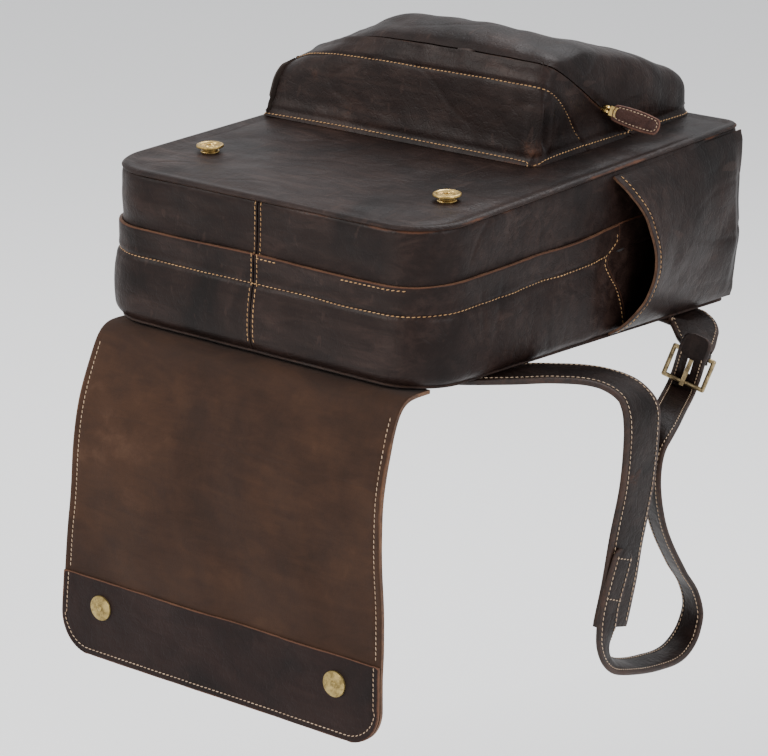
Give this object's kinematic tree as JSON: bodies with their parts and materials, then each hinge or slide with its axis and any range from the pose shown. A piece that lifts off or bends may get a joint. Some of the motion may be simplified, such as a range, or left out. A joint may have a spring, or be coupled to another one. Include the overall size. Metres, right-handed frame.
{
  "type": "leather backpack",
  "caption": "Leather backpack lying on its back with its flap hanging open, front zip pocket, open side pockets and two buckled shoulder straps.",
  "frame": {"origin": "on the resting face of the back pad, on the bag's centre line, half way between its top and bottom ends", "axes": "+X to the bag's right side as seen from the top end, +Y from the top end to the bottom end, +Z from the back to the front"},
  "size_m": [0.4258, 0.3829, 0.4155],
  "materials": {
    "body_leather": "waxed, semi-matt, scuffed",
    "strap_leather": "waxed, semi-matt",
    "flap_leather_inner": "suede-like, matt",
    "tan_leather": "waxed, semi-matt",
    "antique_brass": "antique, worn",
    "lining_cloth": "woven",
    "zip_tape": "woven",
    "zip_coil": "satin",
    "foam": "matt foam",
    "fibre_board": "matt"
  },
  "bodies": {
    "bag": {"back_foam": "foam", "back_gusset_left": "body_leather", "back_gusset_right": "body_leather", "back_pad_cover": "body_leather", "back_pad_foam": "foam", "back_panel": "body_leather", "bottom_panel": "body_leather", "bottom_stiffener": "fibre_board", "buckle_tab_stub_left": "strap_leather", "buckle_tab_stub_right": "strap_leather", "flap_root": "body_leather", "front_gusset_left": "body_leather", "front_gusset_right": "body_leather", "front_panel": "body_leather", "front_snap_washers": "antique_brass", "front_snaps": "antique_brass", "lining_back": "lining_cloth", "lining_front": "lining_cloth", "main_zip_coil_back": "zip_coil", "main_zip_coil_front": "zip_coil", "main_zip_stops": "antique_brass", "main_zip_tape_back": "zip_tape", "main_zip_tape_front": "zip_tape", "pocket_face": "body_leather", "pocket_gusset": "body_leather", "pocket_lining": "lining_cloth", "pocket_zip_coil_lower": "zip_coil", "pocket_zip_coil_upper": "zip_coil", "pocket_zip_tape_lower": "zip_tape", "pocket_zip_tape_upper": "zip_tape", "side_pocket_left": "body_leather", "side_pocket_right": "body_leather", "strap_anchor_patch": "strap_leather", "strap_root_left": "strap_leather", "strap_root_right": "strap_leather"},
    "flap_upper": {"flap_upper_outer": "body_leather", "flap_upper_lining": "flap_leather_inner"},
    "flap_lower": {"flap_lower_outer": "body_leather", "flap_lower_lining": "flap_leather_inner", "flap_band": "body_leather", "flap_snaps": "antique_brass"},
    "strap_right": {"strap_wide_right": "strap_leather", "strap_narrow_right": "strap_leather", "buckle_frame_right": "antique_brass", "buckle_tab_right": "strap_leather"},
    "strap_left": {"strap_wide_left": "strap_leather", "strap_narrow_left": "strap_leather", "buckle_frame_left": "antique_brass", "buckle_tab_left": "strap_leather"},
    "prong_right": {"buckle_prong_right": "antique_brass"},
    "prong_left": {"buckle_prong_left": "antique_brass"},
    "main_slider": {"main_zip_slider": "antique_brass", "main_zip_pull": "antique_brass"},
    "pocket_slider": {"pocket_zip_slider": "antique_brass"},
    "pocket_pull": {"pocket_zip_clip": "antique_brass", "pocket_zip_tab": "tan_leather"}
  },
  "joints": [
    {"name": "flap_swing", "type": "hinge", "parent": "bag", "child": "flap_upper", "pos_m": [0, -0.183, 0.004], "axis": [-1, 0, 0], "range_deg": [0, 169.4]},
    {"name": "flap_fold", "type": "hinge", "parent": "flap_upper", "child": "flap_lower", "pos_m": [0, -0.20397, -0.10805], "axis": [-1, 0, 0], "range_deg": [0, 96.7]},
    {"name": "strap_swing_right", "type": "hinge", "parent": "bag", "child": "strap_right", "pos_m": [0.142, 0, 0.003], "axis": [0, 1, 0], "range_deg": [0, 40]},
    {"name": "strap_swing_left", "type": "hinge", "parent": "bag", "child": "strap_left", "pos_m": [-0.142, 0, 0.003], "axis": [0, -1, 0], "range_deg": [0, 40]},
    {"name": "prong_right_turn", "type": "hinge", "parent": "strap_right", "child": "prong_right", "pos_m": [0.1626, 0.09308, -0.01315], "axis": [-0.9044, -0.3018, 0.3018], "range_deg": [0, 12]},
    {"name": "prong_left_turn", "type": "hinge", "parent": "strap_left", "child": "prong_left", "pos_m": [-0.1626, 0.09308, -0.01315], "axis": [-0.9044, 0.3018, -0.3018], "range_deg": [0, 12]},
    {"name": "main_zip_run", "type": "slide", "parent": "bag", "child": "main_slider", "axis": [-1, 0, 0], "range_m": [0, 0.13]},
    {"name": "pocket_zip_run", "type": "slide", "parent": "bag", "child": "pocket_slider", "axis": [0, -0.8455, 0.5339], "range_m": [0, 0.016]},
    {"name": "pocket_pull_turn", "type": "hinge", "parent": "pocket_slider", "child": "pocket_pull", "pos_m": [0.0995, 0.064, 0.14859], "axis": [0, -0.5339, -0.8455], "range_deg": [-10, 100]}
  ]
}
